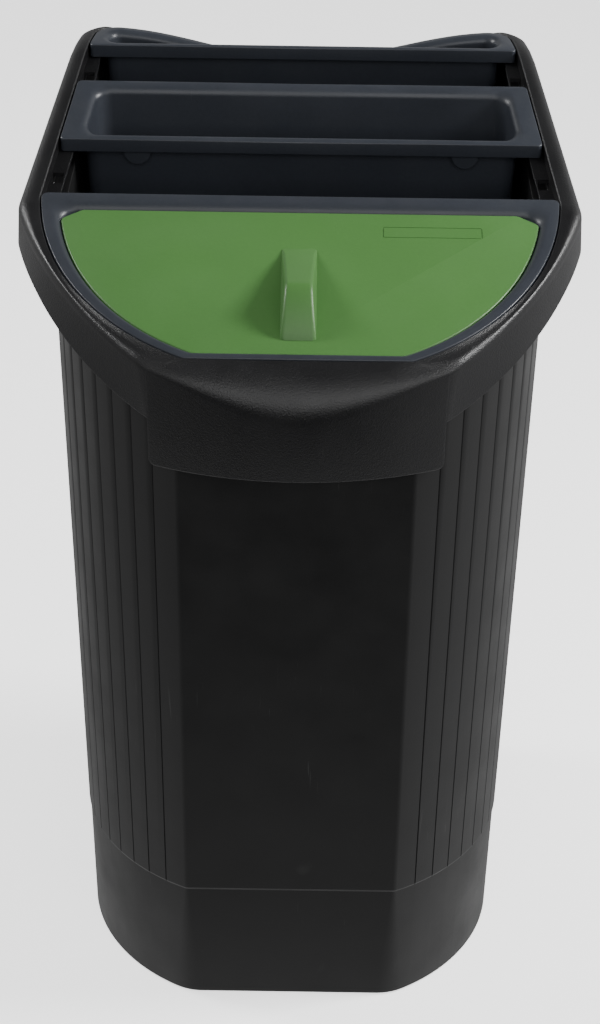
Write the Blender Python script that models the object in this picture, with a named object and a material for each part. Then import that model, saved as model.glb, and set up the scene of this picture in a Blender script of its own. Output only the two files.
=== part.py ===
"""A tall litter bin for sorted waste: a body, a sloping top frame and lift-out inserts, the front one lidded.

Metres, +Z up. The front faces -Y. The origin is the middle of the footprint, on the floor.
"""

import math

import bmesh
import bpy

# Rim plane: it rises towards the back, runs level over the rear insert and dips along the back edge
RIM_Z = 0.6007
RIM_SLOPE = 0.305
LEVEL_Y = 0.150
LEVEL_BLEND = 0.008
BACK_DIP = 0.023
BACK_DIP_HALF = 0.150
BACK_DIP_START = 0.004
BACK_DIP_LENGTH = 0.026

# Plan headings, in degrees from +X: the facet's end, the sides, which close in towards the back, and the back
FACET_TURN = 24.0
SIDE_TURN = 97.1
BACK_TURN = 180.0

# Clearances: a running fit round each lift-out piece, and the air under a piece that rests on another
FIT_GAP = 0.001
REST_GAP = 0.0003

# Body shell
WALL = 0.0025
FLOOR = 0.003
BODY_FACET_Y = -0.168
BODY_FACET_LEAN = 0.0275
BODY_CENTRE = (0.0101, -0.0364)
BODY_CENTRE_DRIFT = -0.0054
BODY_ARC = 0.1476
BODY_ARC_SPREAD = 0.0302
BODY_ARC_END = 91.0
BODY_BACK_Y = 0.170
BODY_BACK_CORNER = 0.020
BODY_SIDE_TURN = 95.0
BODY_SIDE_CORNER = 0.050
BODY_BACK_LEAN = 0.0245
BAND_HEIGHT = 0.104
BAND_STEP = 0.001
BAND_FACET_CORNER = 0.040
RIB_FACET_CORNER = 0.008
BASE_ROUND = 0.003
GROOVES = 9
GROOVE_START = 33.7
GROOVE_TURN = 6.3
GROOVE_WIDTH_TURN = 0.6
GROOVE_DEPTH = 0.0008
BODY_TOP_DROP = 0.021
FRONT_RELIEF = 0.004
FRONT_RELIEF_Y = -0.085
FRONT_RELIEF_BLEND = 0.030
FLANGE = 0.0095
FLANGE_THICKNESS = 0.0025
FLANGE_BLEND = 0.045
FLANGE_STEP = 0.001

# Top frame
FRAME_FACET_Y = -0.176
FRAME_FACET_HALF = 0.0757
FRAME_ARC = 0.180
FRAME_ARC_END = 86.0
FRAME_BACK_Y = 0.190
FRAME_BACK_CORNER = 0.020
FRAME_FACET_CORNER = 0.010
FRAME_SIDE_CORNER = 0.030
SIDE_START = 23  # the station of every frame outline where the straight side begins
FRAME_WALL = 0.0025
FRAME_EDGE = 0.0008
FRAME_LEG = BODY_TOP_DROP - REST_GAP
BACK_LEG_RELIEF = 0.0025
BACK_SINK = 0.004
BACK_SINK_Y = 0.168
BACK_SINK_BLEND = 0.022
BACK_SINK_X = 0.152
BACK_SINK_SIDE_BLEND = 0.017

# Collar of the top frame: its widest line is the shoulder, its lower edge the skirt, its front part the apron
COLLAR_TURN = 98.0
BULGE_ARC = 0.226
BULGE_END = 26.0
BULGE_CORNER = 0.020
COLLAR_SIDE_CORNER = 0.030
SHOULDER_Y = -0.2015
SHOULDER_CORNER_TURN = 43.0
SHOULDER_ARC_END = 72.0
SHOULDER_OUTSET = 0.0148
SHOULDER_BACK_OUTSET = 0.0115
SHOULDER_DROP = 0.008
SHOULDER_FRONT_DROP = 0.022
SHOULDER_FRONT_HALF = 0.105
SQUARE_Y = -0.190
SQUARE_BLEND = 0.060
APRON_Y = -0.1995
SKIRT_CORNER_TURN = 31.0
SKIRT_ARC = 0.200
SKIRT_ARC_TURN = 64.0
SKIRT_ARC_END = 75.0
SKIRT_OUTSET = 0.0135
SKIRT_BACK_OUTSET = 0.010
APRON_HALF = 0.0992
APRON_Z = 0.4676
SKIRT_Z_AT_APRON = 0.5026
SKIRT_DEPTH_SIDE = 0.0235
SKIRT_RISE_Y = -0.176
SKIRT_RISE_LENGTH = 0.100

# Ledge the inserts hang on
LEDGE_DROP = 0.010
LEDGE_THICKNESS = 0.003
LEDGE_WIDTH = 0.008
LEDGE_SIDE_EXTRA = 0.0025
LEDGE_SIDE_YS = (-0.030, 0.150)
LEDGE_SIDE_BLEND = 0.015
HOLE_YS = (0.013, 0.126)
HOLE_SIZE = (0.008, 0.011)
HOLE_INSET = 0.0052

# Inserts: flats and tapers are for the front, back and sides, and rounds run from the rim to the floor
INSERT_WALL = 0.002
LIP_DEPTH = LEDGE_DROP - REST_GAP
LIP_THICKNESS = 0.0025
LIP_CORNER = 0.003
FRONT_BACK_Y = -0.016
FRONT_BACK_CORNER = 0.004
FRONT_FLOOR_Z = 0.330
FRONT_TAPER = 0.008
MIDDLE_Y = (0.041, 0.107)
MIDDLE_FLOOR_Z = 0.300
MIDDLE_FLATS = (0.003, 0.003, 0.011)
MIDDLE_TAPERS = (0.006, 0.006, 0.012)
MIDDLE_ROUNDS = (0.009, 0.010, 0.012, 0.009)
MIDDLE_BACK_CORNER = 0.0035
REAR_Y = (0.150, 0.189)
REAR_FLOOR_Z = 0.340
REAR_FLATS = (0.0025, 0.005, 0.0065)
REAR_TAPERS = (0.001, 0.008, 0.012)
REAR_ROUNDS = (0.0125, 0.0110, 0.0090, 0.0045)
REAR_BACK_CORNER = FRAME_BACK_CORNER - FIT_GAP
TUB_ROUND = 0.0055
BOSS_RADIUS = 0.0095
BOSS_STRAIGHT = 0.004
BOSS_THICKNESS = 0.0052
BOSS_BURY = 0.003
BOSS_X = 0.118
BOSS_Y = MIDDLE_Y[0] + 0.0025

# Lid
LID_FACET_Y = -0.1675
LID_FACET_HALF = 0.069
LID_ARC = 0.1667
LID_ARC_END = 81.3
LID_FACET_CORNER = 0.012
LID_BACK_Y = -0.029
LID_BACK_CORNER = 0.004
LID_NOTCH_TURN = 148.0
LID_NOTCH_CORNER = 0.003
LID_NOTCH = 0.011
LID_DROP = 0.003
LID_THICKNESS = 0.0025
LID_EDGE = 0.0006
LID_GAP = 0.0006

# Seat of the lid in the front insert
SEAT_DROP = LID_DROP + LID_THICKNESS + REST_GAP
SEAT_WIDTH = 0.004
SEAT_CORNER = 0.012
SEAT_SLOPE_DROP = 0.0015

# Fin grip of the lid, in side view
GRIP_HALF = 0.012
GRIP_WALL = 0.0022
GRIP_BACK_Y = -0.065
GRIP_BEND_Y = -0.127
GRIP_FOOT_Y = -0.155
GRIP_RISE = 0.0022
GRIP_CROWN = 0.0012
GRIP_NOSE = ((-0.1335, 0.0035), (-0.1410, 0.0120), (-0.1490, 0.0220))
GRIP_CENTRE_Y = -0.122
GRIP_BURY = 0.001
GRIP_HOLLOW_SHARE = 0.89
GRIP_HOLLOW_BELOW = 0.012

CHARCOAL = (0.017, 0.017, 0.018, 1.0)
BLACK = (0.011, 0.011, 0.012, 1.0)
SLATE = (0.030, 0.032, 0.038, 1.0)
GREEN = (0.100, 0.216, 0.070, 1.0)


def clear_scene():
    for obj in list(bpy.data.objects):
        bpy.data.objects.remove(obj, do_unlink=True)


def material(name, colour, roughness):
    made = bpy.data.materials.new(name)
    made.use_nodes = True
    shader = made.node_tree.nodes["Principled BSDF"]
    shader.inputs["Base Color"].default_value = colour
    shader.inputs["Roughness"].default_value = roughness
    shader.inputs["Metallic"].default_value = 0.0
    return made


def smooth(t):
    t = min(1.0, max(0.0, t))
    return t * t * (3.0 - 2.0 * t)


def rim_z(x, y):
    """Height of the rim surface at a plan point."""
    ahead = LEVEL_Y - y
    ahead = (ahead + math.hypot(ahead, LEVEL_BLEND)) / 2.0
    dip = smooth((y - LEVEL_Y - BACK_DIP_START) / BACK_DIP_LENGTH)
    dip *= math.cos(math.pi / 2.0 * min(1.0, abs(x) / BACK_DIP_HALF)) ** 2
    return RIM_Z + RIM_SLOPE * (LEVEL_Y - ahead) - BACK_DIP * dip


def side_x(y):
    """Half the width between the frame's rebate walls, along the straight sides."""
    x, y_end = frame_half(0.0)[SIDE_START]
    return x + (y - y_end) / math.tan(math.radians(SIDE_TURN))


def arc_centre(facet_y, facet_half, arc):
    """The centre of the arc that leaves the end of a facet at the facet's turn."""
    turn = math.radians(FACET_TURN)
    return (facet_half - arc * math.sin(turn), facet_y + arc * math.cos(turn))


class Outline:
    """A plan outline traced from the front's middle towards the back's middle, on the +X side."""

    def __init__(self, y):
        self.points = [(0.0, y)]
        self.turn = 0.0

    def line(self, length, steps=1):
        x, y = self.points[-1]
        dx = math.cos(math.radians(self.turn)) * length / steps
        dy = math.sin(math.radians(self.turn)) * length / steps
        self.points += [(x + dx * k, y + dy * k) for k in range(1, steps + 1)]

    def bend(self, radius, turn, steps):
        x, y = self.points[-1]
        start = math.radians(self.turn)
        end = math.radians(turn)
        centre = (x - radius * math.sin(start), y + radius * math.cos(start))
        for k in range(1, steps + 1):
            a = start + (end - start) * k / steps
            self.points.append((centre[0] + radius * math.sin(a), centre[1] - radius * math.cos(a)))
        self.turn = turn

    def front(self, centre, arc, corner, line_steps, corner_steps):
        """The front facet, with a rounded corner of its own that runs tangent into the arc about centre."""
        turn = math.acos((centre[1] - self.points[0][1] - corner) / (arc - corner))
        self.line(centre[0] + (arc - corner) * math.sin(turn), line_steps)
        self.bend(corner, math.degrees(turn), corner_steps)

    def to_side(self, turn, corner, outset, steps, corner_steps):
        """An arc up to turn and a corner, which ends on the line a set distance outside the frame's side."""
        first, last, side = (math.radians(a) for a in (self.turn, turn, SIDE_TURN))
        target = frame_half(0.0)[SIDE_START]
        x, y = self.points[-1]
        x += corner * (math.sin(side) - math.sin(last)) - target[0]
        y += corner * (math.cos(last) - math.cos(side)) - target[1]
        across = (math.sin(last) - math.sin(first)) * math.sin(side)
        along = (math.cos(first) - math.cos(last)) * math.cos(side)
        arc = (outset - x * math.sin(side) + y * math.cos(side)) / (across - along)
        self.bend(arc, turn, steps)
        self.bend(corner, COLLAR_TURN, corner_steps)

    def back(self, back_y, corner, side_steps, corner_steps, back_steps):
        """The straight side, the rounded back corner and the back, up to the middle."""
        turn = math.radians(self.turn)
        rise = back_y - corner * (1.0 + math.cos(turn)) - self.points[-1][1]
        self.line(rise / math.sin(turn), side_steps)
        self.bend(corner, BACK_TURN, corner_steps)
        x, y = self.points[-1]
        self.points += [(x * (1.0 - k / back_steps), y) for k in range(1, back_steps + 1)]


def frame_half(inset):
    """The rebate wall's top edge, where the frame meets the inserts, moved inwards by inset."""
    centre = arc_centre(FRAME_FACET_Y, FRAME_FACET_HALF, FRAME_ARC)
    outline = Outline(FRAME_FACET_Y + inset)
    outline.front(centre, FRAME_ARC - inset, FRAME_FACET_CORNER - inset, 6, 3)
    outline.bend(FRAME_ARC - inset, FRAME_ARC_END, 11)
    outline.bend(FRAME_SIDE_CORNER - inset, SIDE_TURN, 3)
    outline.back(FRAME_BACK_Y - inset, FRAME_BACK_CORNER - inset, 4, 6, 6)
    return outline.points


def shoulder_half():
    """The frame's outer shoulder: it bulges over the front facet."""
    outline = Outline(SHOULDER_Y)
    outline.bend(BULGE_ARC, BULGE_END, 6)
    outline.bend(BULGE_CORNER, SHOULDER_CORNER_TURN, 3)
    outline.to_side(SHOULDER_ARC_END, COLLAR_SIDE_CORNER, SHOULDER_OUTSET, 11, 3)
    outline.back(FRAME_BACK_Y + SHOULDER_BACK_OUTSET, FRAME_BACK_CORNER + SHOULDER_BACK_OUTSET, 4, 6, 6)
    return outline.points


def skirt_half():
    """The bottom of the frame's skirt: it follows the body round the front corners."""
    outline = Outline(APRON_Y)
    outline.bend(BULGE_ARC, BULGE_END, 6)
    outline.bend(BULGE_CORNER, SKIRT_CORNER_TURN, 3)
    outline.bend(SKIRT_ARC, SKIRT_ARC_TURN, 7)
    outline.to_side(SKIRT_ARC_END, COLLAR_SIDE_CORNER, SKIRT_OUTSET, 4, 3)
    outline.back(FRAME_BACK_Y + SKIRT_BACK_OUTSET, FRAME_BACK_CORNER + SKIRT_BACK_OUTSET, 4, 6, 6)
    return outline.points


def mirrored(half):
    """The whole ring from its +X half, whose first and last points lie on the middle plane."""
    return half + [(-x, y) for x, y in reversed(half[1:-1])]


def on_rim(half, drop):
    """The whole ring with each point a set drop below the rim surface."""
    return [(x, y, rim_z(x, y) - drop) for x, y in mirrored(half)]


def level(half, z):
    return [(x, y, z) for x, y in mirrored(half)]


def between(first, second, share):
    """A half outline part of the way from one to another of as many points."""
    return [(a[0] + (b[0] - a[0]) * share, a[1] + (b[1] - a[1]) * share) for a, b in zip(first, second)]


def mesh_object(name, bm, finish):
    if bm.calc_volume(signed=True) < 0.0:
        bmesh.ops.reverse_faces(bm, faces=bm.faces)
    mesh = bpy.data.meshes.new(name)
    bm.to_mesh(mesh)
    bm.free()
    mesh.materials.append(finish)
    mesh.shade_smooth()
    mesh.set_sharp_from_angle(angle=math.radians(30.0))
    obj = bpy.data.objects.new(name, mesh)
    bpy.context.scene.collection.objects.link(obj)
    return obj


def loft(name, rings, finish, closed=False):
    """Skins rings of as many points, either as a loop or with a face across the first and the last."""
    bm = bmesh.new()
    loops = [[bm.verts.new(point) for point in ring] for ring in rings]
    pairs = list(zip(loops, loops[1:]))
    if closed:
        pairs.append((loops[-1], loops[0]))
    else:
        bm.faces.new(loops[0][::-1])
        bm.faces.new(loops[-1])
    count = len(loops[0])
    for low, high in pairs:
        for i in range(count):
            j = (i + 1) % count
            bm.faces.new((low[i], low[j], high[j], high[i]))
    bmesh.ops.triangulate(bm, faces=bm.faces)
    return mesh_object(name, bm, finish)


def prism(name, outline, axis, low, high, finish=None):
    """A plain extrusion of a flat outline: (y, z) pairs along x, or (x, z) pairs along y."""
    bm = bmesh.new()
    ends = []
    for position in (low, high):
        if axis == "x":
            ends.append([bm.verts.new((position, a, b)) for a, b in outline])
        else:
            ends.append([bm.verts.new((a, position, b)) for a, b in outline])
    bm.faces.new(ends[0][::-1])
    bm.faces.new(ends[1])
    count = len(outline)
    for i in range(count):
        j = (i + 1) % count
        bm.faces.new((ends[0][i], ends[0][j], ends[1][j], ends[1][i]))
    return mesh_object(name, bm, finish)


def boolean(obj, operation, other):
    """Adds or removes a helper, which is left out of the model."""
    other.hide_render = True
    other.display_type = "WIRE"
    modifier = obj.modifiers.new(other.name, "BOOLEAN")
    modifier.operation = operation
    modifier.solver = "EXACT"
    modifier.object = other


def body_half(z, inset, facet_corner, groove=0.0, flange=0.0):
    """The body's outline at a height. It has the same stations with and without grooves."""
    arc = BODY_ARC + BODY_ARC_SPREAD * z - inset
    centre = (BODY_CENTRE[0] + BODY_CENTRE_DRIFT * z, BODY_CENTRE[1])
    outline = Outline(BODY_FACET_Y - BODY_FACET_LEAN * z + inset)
    outline.front(centre, arc, facet_corner - inset, 3, 3)
    for k in range(GROOVES):
        middle = GROOVE_START + GROOVE_TURN * k
        outline.bend(arc, middle - GROOVE_WIDTH_TURN, 1)
        outline.bend(arc, middle + GROOVE_WIDTH_TURN, 3)
    outline.bend(arc, BODY_ARC_END, 1)
    outline.bend(BODY_SIDE_CORNER - inset, BODY_SIDE_TURN, 2)
    outline.back(BODY_BACK_Y + BODY_BACK_LEAN * z - inset, BODY_BACK_CORNER - inset, 4, 6, 6)
    points = list(outline.points)
    first = 8  # the station at the bottom of the first groove: each has two there and two at its edge
    for k in range(GROOVES):
        turn = math.radians(GROOVE_START + GROOVE_TURN * k)
        for i in (first + 4 * k, first + 1 + 4 * k):
            points[i] = (points[i][0] - groove * math.sin(turn), points[i][1] + groove * math.cos(turn))
    return widened(points, flange)


def widened(points, flange):
    """Pushes the sides and the back of a body outline outwards, for the flange that carries the frame."""
    moved = []
    for x, y in points:
        share = smooth((y - FRONT_RELIEF_Y) / FLANGE_BLEND)
        reach = math.hypot(x, y)
        moved.append((x * (1.0 + flange * share / reach), y * (1.0 + flange * share / reach)))
    return moved


def body_ring(drop, **shape):
    """A body ring a set drop below the rim surface, with each point on its own tapering wall line."""
    low = mirrored(body_half(0.0, **shape))
    high = mirrored(body_half(1.0, **shape))
    ring = []
    for a, b in zip(low, high):
        z = RIM_Z
        for _ in range(8):
            x = a[0] + (b[0] - a[0]) * z
            y = a[1] + (b[1] - a[1]) * z
            z = rim_z(x, y) - drop - FRONT_RELIEF * smooth((FRONT_RELIEF_Y - y) / FRONT_RELIEF_BLEND)
        ring.append((x, y, z))
    return ring


def body_shell(finish):
    band = {"facet_corner": BAND_FACET_CORNER}
    rib = {"facet_corner": RIB_FACET_CORNER}
    ribs = {"facet_corner": RIB_FACET_CORNER, "groove": GROOVE_DEPTH}
    flange_bottom = BODY_TOP_DROP + FLANGE_THICKNESS
    rings = [
        level(body_half(0.0, inset=BASE_ROUND, **band), 0.0),
        level(body_half(0.0, inset=BASE_ROUND * 0.3 + BAND_STEP, **band), BASE_ROUND * 0.3),
        level(body_half(BASE_ROUND, inset=BAND_STEP, **band), BASE_ROUND),
        level(body_half(BAND_HEIGHT, inset=BAND_STEP, **rib), BAND_HEIGHT - BAND_STEP),
        level(body_half(BAND_HEIGHT, inset=0.0, **ribs), BAND_HEIGHT),
        body_ring(flange_bottom + FLANGE_STEP, inset=0.0, **ribs),
        body_ring(flange_bottom, inset=0.0, flange=FLANGE, **rib),
        body_ring(BODY_TOP_DROP, inset=0.0, flange=FLANGE, **rib),
        body_ring(BODY_TOP_DROP, inset=WALL, **rib),
        level(body_half(FLOOR, inset=WALL + BAND_STEP, **band), FLOOR),
    ]
    return loft("body_shell", rings, finish)


def skirt_z(x, y):
    """The skirt's lower edge: lowest along the apron, and rising from the apron's ends to the sides."""
    if abs(x) < APRON_HALF and y < 0.0:
        return APRON_Z
    start = rim_z(APRON_HALF, SKIRT_RISE_Y) - SKIRT_Z_AT_APRON
    share = 1.0 - min(1.0, max(0.0, (y - SKIRT_RISE_Y) / SKIRT_RISE_LENGTH))
    return rim_z(x, y) - (SKIRT_DEPTH_SIDE + (start - SKIRT_DEPTH_SIDE) * share * share)


def shoulder_drop(x, y):
    """How far the widest line of the shoulder lies below the rim surface: further over the front facet."""
    if y > 0.0:
        return SHOULDER_DROP
    return SHOULDER_DROP + SHOULDER_FRONT_DROP * smooth(1.0 - abs(x) / SHOULDER_FRONT_HALF)


def along_back(y):
    """A share that grows from nothing on the sides to the whole along the back."""
    return smooth((y - BACK_SINK_Y) / BACK_SINK_BLEND)


def back_sink(x, y):
    """How far the frame's own rim lies below the rear insert's: along the back, but not at its corners."""
    return BACK_SINK * along_back(y) * smooth((BACK_SINK_X - abs(x)) / BACK_SINK_SIDE_BLEND)


def leg_drop(y):
    """The frame's leg stands on the body's flange, and is a little shorter where the rim dips at the back."""
    return FRAME_LEG - BACK_LEG_RELIEF * smooth((y - LEVEL_Y) / 0.015)


def moved_towards(half, target, distance):
    """An outline with each point moved a set distance towards its partner on another outline."""
    points = []
    for (x, y), (tx, ty) in zip(half, target):
        reach = math.hypot(tx - x, ty - y)
        points.append((x + (tx - x) * distance / reach, y + (ty - y) * distance / reach))
    return points


def roundness(y, outer_y):
    """The power of the collar's section: squarer along the sides than over the front and the back."""
    sides = smooth((outer_y - SQUARE_Y) / SQUARE_BLEND) - along_back(y)
    return 2.0 / (2.0 + sides)


def arch(inner, outer, depth, steps):
    """Rings over the shoulder, from the inner outline near the rim down to the outer one."""
    rings = []
    for k in range(steps + 1):
        a = math.pi / 2.0 * k / steps
        ring = []
        for (x, y), (ox, oy) in zip(inner, outer):
            power = roundness(y, oy)
            across = math.sin(a) ** power
            down = 1.0 - math.cos(a) ** power
            top = rim_z(x, y) - depth - back_sink(x, y)
            bottom = rim_z(ox, oy) - shoulder_drop(ox, oy) - back_sink(x, y)
            ring.append((x + (ox - x) * across, y + (oy - y) * across, top + (bottom - top) * down))
        rings.append(ring)
    return rings


def with_apron_end(half):
    """Adds a station right after the apron's end, so that the skirt steps up there."""
    i = 6
    a, b = half[i], half[i + 1]
    extra = (a[0] + (b[0] - a[0]) * 0.2, a[1] + (b[1] - a[1]) * 0.2)
    return half[: i + 1] + [extra] + half[i + 1 :]


def ledge_half():
    """The ledge's inner edge: the ledge is wider along the straight sides."""
    start, end = LEDGE_SIDE_YS
    points = []
    for x, y in frame_half(LEDGE_WIDTH):
        wider = smooth((y - start) / LEDGE_SIDE_BLEND) * smooth((end - y) / LEDGE_SIDE_BLEND)
        points.append((x - LEDGE_SIDE_EXTRA * wider, y))
    return points


def ledge_hole(side, y):
    """The cutter of one rectangular hole in the ledge."""
    x = side * (side_x(y) - HOLE_INSET)
    half_x, half_y = (size / 2.0 for size in HOLE_SIZE)
    top = rim_z(x, y) - LEDGE_DROP + LEDGE_WIDTH / 2.0
    bottom = top - 2.0 * LEDGE_WIDTH
    outline = [(x - half_x, bottom), (x + half_x, bottom), (x + half_x, top), (x - half_x, top)]
    return prism("ledge_hole", outline, "y", y - half_y, y + half_y)


def top_frame(finish):
    inner = mirrored(with_apron_end(frame_half(0.0)))
    wall = mirrored(with_apron_end(frame_half(-FRAME_WALL)))
    ledge = mirrored(with_apron_end(ledge_half()))
    shoulder = mirrored(with_apron_end(shoulder_half()))
    skirt = mirrored(with_apron_end(skirt_half()))
    shoulder_in = moved_towards(shoulder, inner, FRAME_WALL)
    skirt_in = moved_towards(skirt, inner, FRAME_WALL)

    def below_rim(ring, drop):
        return [(x, y, rim_z(x, y) - drop) for x, y in ring]

    rings = [[(x, y, rim_z(x, y) - FRAME_EDGE - back_sink(x, y)) for x, y in inner]]
    rings += arch(moved_towards(inner, shoulder, FRAME_EDGE), shoulder, 0.0, 6)
    rings.append([(x, y, skirt_z(x, y)) for x, y in skirt])
    rings.append([(x, y, skirt_z(*edge)) for (x, y), edge in zip(skirt_in, skirt)])
    rings += reversed(arch(wall, shoulder_in, FRAME_WALL, 3))
    rings += [
        [(x, y, rim_z(x, y) - leg_drop(y)) for x, y in wall],
        [(x, y, rim_z(x, y) - leg_drop(y)) for x, y in inner],
        below_rim(inner, LEDGE_DROP + LEDGE_THICKNESS),
        below_rim(ledge, LEDGE_DROP + LEDGE_THICKNESS),
        below_rim(ledge, LEDGE_DROP),
        below_rim(inner, LEDGE_DROP),
    ]
    frame = loft("top_frame", rings, finish, closed=True)
    for side in (-1, 1):
        for y in HOLE_YS:
            boolean(frame, "DIFFERENCE", ledge_hole(side, y))
    return frame


def front_rim_half():
    """The front insert's outer edge: inside the frame, with a straight back."""
    centre = arc_centre(FRAME_FACET_Y, FRAME_FACET_HALF, FRAME_ARC)
    outline = Outline(FRAME_FACET_Y + FIT_GAP)
    outline.front(centre, FRAME_ARC - FIT_GAP, FRAME_FACET_CORNER - FIT_GAP, 3, 2)
    outline.bend(FRAME_ARC - FIT_GAP, FRAME_ARC_END, 14)
    outline.back(FRONT_BACK_Y, FRONT_BACK_CORNER, 1, 4, 3)
    return outline.points


def lid_half(inset):
    """The lid's outline, whose back corners are cut off on a slant."""
    centre = arc_centre(LID_FACET_Y, LID_FACET_HALF, LID_ARC)
    outline = Outline(LID_FACET_Y + inset)
    outline.front(centre, LID_ARC - inset, LID_FACET_CORNER, 3, 2)
    outline.bend(LID_ARC - inset, LID_ARC_END, 14)
    outline.bend(LID_NOTCH_CORNER, LID_NOTCH_TURN, 2)
    outline.line(LID_NOTCH, 1)
    outline.back(LID_BACK_Y - inset, LID_BACK_CORNER, 1, 3, 3)
    return outline.points


def seat_half(inset):
    """The recess in the front insert that the lid lies in, with round back corners tangent to the arc."""
    centre = arc_centre(LID_FACET_Y, LID_FACET_HALF, LID_ARC)
    arc = LID_ARC - inset
    end = math.acos((centre[1] - LID_BACK_Y + inset + SEAT_CORNER) / (arc - SEAT_CORNER))
    outline = Outline(LID_FACET_Y + inset)
    outline.front(centre, arc, LID_FACET_CORNER, 3, 2)
    outline.bend(arc, math.degrees(end), 14)
    outline.bend(SEAT_CORNER, BACK_TURN, 5)
    x, y = outline.points[-1]
    outline.points += [(x * (1.0 - k / 3.0), y) for k in (1, 2, 3)]
    return outline.points


def front_insert(finish):
    rim = front_rim_half()
    seat = seat_half(-LID_GAP)
    mouth = seat_half(SEAT_WIDTH)
    lip_inside = between(rim, mouth, 0.13)
    slope_top = SEAT_SLOPE_DROP + INSERT_WALL
    seat_bottom = SEAT_DROP + INSERT_WALL
    rings = [
        level(seat_half(SEAT_WIDTH - INSERT_WALL + FRONT_TAPER), FRONT_FLOOR_Z),
        on_rim(seat_half(SEAT_WIDTH - INSERT_WALL), seat_bottom),
        on_rim(seat, seat_bottom),
        on_rim(between(rim, seat, 0.80), slope_top),
        on_rim(lip_inside, INSERT_WALL),
        on_rim(lip_inside, LIP_DEPTH),
        on_rim(rim, LIP_DEPTH),
        on_rim(rim, FRAME_EDGE),
        on_rim(between(rim, seat, 0.06), 0.0),
        on_rim(between(rim, seat, 0.70), 0.0),
        on_rim(between(rim, seat, 0.88), SEAT_SLOPE_DROP),
        on_rim(seat, SEAT_DROP),
        on_rim(mouth, SEAT_DROP),
        level(seat_half(SEAT_WIDTH + FRONT_TAPER), FRONT_FLOOR_Z + INSERT_WALL),
    ]
    return loft("front_insert", rings, finish)


def lid_z(y):
    return rim_z(0.0, y) - LID_DROP


def grip_profile(shrink, below):
    """The fin grip's side view: a nearly level top that meets the lid at the back, and a round nose."""
    back = (GRIP_BACK_Y, lid_z(GRIP_BACK_Y) - GRIP_BURY)
    bend = (GRIP_BEND_Y, lid_z(GRIP_BACK_Y) + GRIP_RISE)
    foot = (GRIP_FOOT_Y, lid_z(GRIP_FOOT_Y) - GRIP_BURY)
    points = [back, ((back[0] + bend[0]) / 2.0, (back[1] + bend[1]) / 2.0 + GRIP_CROWN), bend]
    points += [(y, bend[1] - drop) for y, drop in GRIP_NOSE]
    points.append(foot)
    centre = (GRIP_CENTRE_Y, lid_z(GRIP_CENTRE_Y) - 2.0 * GRIP_BURY)
    points = [(centre[0] + (y - centre[0]) * shrink, centre[1] + (z - centre[1]) * shrink) for y, z in points]
    return points + [(points[-1][0], points[-1][1] - below), (points[0][0], points[0][1] - below)]


def front_lid(finish):
    half = lid_half(0.0)
    rings = [
        on_rim(lid_half(LID_EDGE), LID_DROP + LID_THICKNESS),
        on_rim(half, LID_DROP + LID_THICKNESS - LID_EDGE),
        on_rim(half, LID_DROP + LID_EDGE),
        on_rim(lid_half(LID_EDGE), LID_DROP),
    ]
    lid = loft("front_lid", rings, finish)
    outside = grip_profile(1.0, GRIP_BURY)
    inside = grip_profile(GRIP_HOLLOW_SHARE, GRIP_HOLLOW_BELOW)
    boolean(lid, "UNION", prism("grip", outside, "x", -GRIP_HALF, GRIP_HALF, finish))
    hollow = GRIP_HALF - GRIP_WALL
    boolean(lid, "DIFFERENCE", prism("grip_hollow", inside, "x", -hollow, hollow))
    return lid


def tub_half(front_y, back_y, side_inset, corner, back_corner):
    """A tub's outline whose sides run along the frame's sides."""
    turn = math.radians(SIDE_TURN)
    outline = Outline(front_y)
    across = side_x(front_y + corner * (1.0 - math.cos(turn))) - side_inset
    outline.line(across - corner * math.sin(turn), 3)
    outline.bend(corner, SIDE_TURN, 5)
    outline.back(back_y, back_corner, 2, 6, 5)
    return outline.points


def hung_tub(name, span, flats, tapers, rounds, back_corner, floor_z, finish):
    """A tub hung by a lipped rim, whose inner edge is rounded over before the wall runs down to the floor."""
    front, back = span

    def plan(down, radius, lean=0.0, extra=0.0):
        """The wall's outline at a share of the way down the rim's inner rounding."""
        front_in, back_in, side_in = (flat + TUB_ROUND * down + extra for flat in flats)
        lean_front, lean_back, lean_side = (taper * lean for taper in tapers)
        across = FIT_GAP + side_in + lean_side
        return tub_half(front + front_in + lean_front, back - back_in - lean_back, across, radius, radius)

    def rim(inset, radius, drop):
        half = tub_half(front + inset, back - inset, FIT_GAP + inset, radius, back_corner - inset)
        return on_rim(half, drop)

    top, middle, bottom, floor = rounds
    rings = [
        level(plan(1.0, floor, 1.0, -INSERT_WALL), floor_z),
        on_rim(plan(1.0, bottom, 0.0, -INSERT_WALL), TUB_ROUND),
        rim(LIP_THICKNESS, LIP_CORNER / 2.0, INSERT_WALL),
        rim(LIP_THICKNESS, LIP_CORNER / 2.0, LIP_DEPTH),
        rim(0.0, LIP_CORNER, LIP_DEPTH),
        rim(0.0, LIP_CORNER, FRAME_EDGE),
        rim(FRAME_EDGE, LIP_CORNER, 0.0),
        on_rim(plan(0.0, top), 0.0),
        on_rim(plan(0.5, middle), TUB_ROUND * 0.2),
        on_rim(plan(1.0, bottom), TUB_ROUND),
        level(plan(1.0, floor, 1.0), floor_z + INSERT_WALL),
    ]
    return loft(name, rings, finish)


def boss(side, finish):
    """A half-round boss under the middle insert's front lip."""
    x = side * BOSS_X
    top = rim_z(x, BOSS_Y) - LIP_DEPTH + BOSS_BURY
    outline = [(x - BOSS_RADIUS, top), (x + BOSS_RADIUS, top)]
    for k in range(9):
        a = math.pi * k / 8.0
        outline.append((x + BOSS_RADIUS * math.cos(a), top - BOSS_STRAIGHT - BOSS_RADIUS * math.sin(a)))
    return prism("boss", outline, "y", BOSS_Y, BOSS_Y + BOSS_THICKNESS, finish)


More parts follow.
